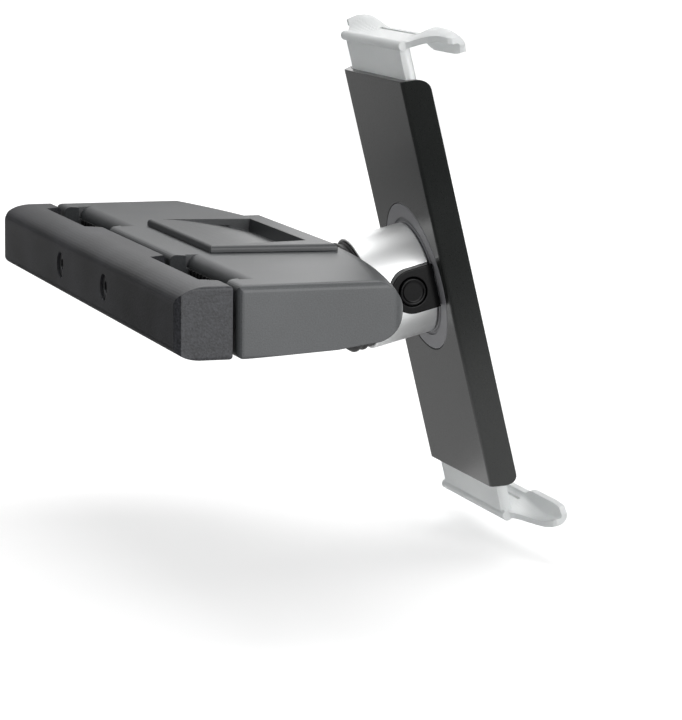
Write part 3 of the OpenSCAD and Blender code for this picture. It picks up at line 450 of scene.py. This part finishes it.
def make_card(name, corner, along, up, tone):
    """Card that only reflections see, as in a product studio, given by a corner and its two sides."""
    corner, along, up = Vector(corner), Vector(along), Vector(up)
    data = bpy.data.meshes.new(name)
    data.from_pydata([corner, corner + along, corner + along + up, corner + up], [], [(0, 1, 2, 3)])
    card = bpy.data.objects.new(name, data)
    bpy.context.scene.collection.objects.link(card)
    card.visible_camera = False
    card.visible_diffuse = False
    card.visible_transmission = False
    card.visible_shadow = False
    material, tree, _ = new_material(name + "_felt")
    shader = add(tree, "Emission", {"Color": (tone, tone, tone, 1.0), "Strength": 1.0})
    data.materials.append(finish_material(material, tree, shader))


def make_cards(level):
    """What the object mirrors: dark to the left and grey behind, upright and just over the floor."""
    over_floor = level + MM
    make_card("left_flag", (-0.45, -1.0, level), (0.0, 1.2, 0.0), (0.0, 0.0, 0.7), BLACK_FELT)
    make_card("back_left_flag", (-0.38, 0.29, level), (0.23, 0.26, 0.0), (0.0, 0.0, 0.6), SLATE_CARD)
    make_card("back_low_flag", (-0.15, 0.55, level), (0.38, 0.0, 0.0), (0.0, 0.0, -level), GREY_CARD)
    make_card("back_flag", (-0.15, 0.55, 0.0), (0.38, 0.0, 0.0), (0.0, 0.0, 0.17), DARK_CARD)
    make_card("left_floor_flag", (-0.45, -0.9, over_floor), (0.43, 0.0, 0.0), (0.0, 1.45, 0.0), DARK_CARD)
    make_card("back_floor_flag", (-0.02, 0.06, over_floor), (0.30, 0.0, 0.0), (0.0, 0.49, 0.0), GREY_CARD)


def seen_directly(tree):
    """1 for rays that show the surroundings, straight or mirrored or through glass, and 0 for light."""
    path = add(tree, "LightPath")
    mirrored = add(tree, "Math", {"operation": "MAXIMUM"})
    tree.links.new(path.outputs["Is Glossy Ray"], mirrored.inputs[0])
    tree.links.new(path.outputs["Is Transmission Ray"], mirrored.inputs[1])
    seen = add(tree, "Math", {"operation": "MAXIMUM"})
    tree.links.new(path.outputs["Is Camera Ray"], seen.inputs[0])
    tree.links.new(mirrored.outputs[0], seen.inputs[1])
    return seen.outputs[0]


def make_world():
    """White surroundings that light the object softly."""
    world = bpy.data.worlds.new("studio")
    bpy.context.scene.world = world
    world.use_nodes = True
    tree = world.node_tree
    tree.nodes.clear()
    strength = add(tree, "MapRange", {"To Min": WORLD_LIGHT, "To Max": 1.0}, {"Value": seen_directly(tree)})
    shade = add(tree, "Background", {"Color": (1, 1, 1, 1)}, {"Strength": strength.outputs[0]})
    add(tree, "OutputWorld", links={"Surface": shade.outputs[0]})


def make_floor(level):
    """Pale matt floor. Its own glow, which throws no light on the object, lifts it to the picture's white."""
    signs = ((-1, -1), (1, -1), (1, 1), (-1, 1))
    data = bpy.data.meshes.new("floor")
    data.from_pydata([(x * FLOOR_REACH, y * FLOOR_REACH, level) for x, y in signs], [], [(0, 1, 2, 3)])
    floor = bpy.data.objects.new("floor", data)
    bpy.context.scene.collection.objects.link(floor)
    material, tree, place = new_material("floor_white_laminate")
    distance = add(tree, "VectorMath", {"operation": "LENGTH"})
    tree.links.new(place, distance.inputs[0])
    grown = add(tree, "MapRange", {"From Min": NEAR, "From Max": FAR, "To Min": NEAR_GLOW, "To Max": FAR_GLOW},
                {"Value": distance.outputs["Value"]})
    glow = add(tree, "Math", {"operation": "MULTIPLY"})
    tree.links.new(grown.outputs[0], glow.inputs[0])
    tree.links.new(seen_directly(tree), glow.inputs[1])
    shader = add(tree, "BsdfPrincipled", {"Base Color": linear("#e4e4e4"), "Roughness": 1.0,
                                          "Specular IOR Level": 0.0, "Emission Color": (1, 1, 1, 1)},
                 {"Emission Strength": glow.outputs[0]})
    data.materials.append(finish_material(material, tree, shader))


def make_studio():
    """White surroundings, three softboxes, the cards and the floor."""
    make_world()
    for name, (at, size, power) in SOFTBOXES.items():
        make_softbox(name, at, size, power)
    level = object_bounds()[0][2] - FLOOR_GAP
    make_cards(level)
    make_floor(level)


make_camera()
materials = make_materials()
dress_nodes(materials)
for node, radius_mm in EDGE_RADII.items():
    soften(node, materials, radius_mm)
make_springs(materials)
make_studio()
bpy.context.scene.view_settings.view_transform = "Standard"
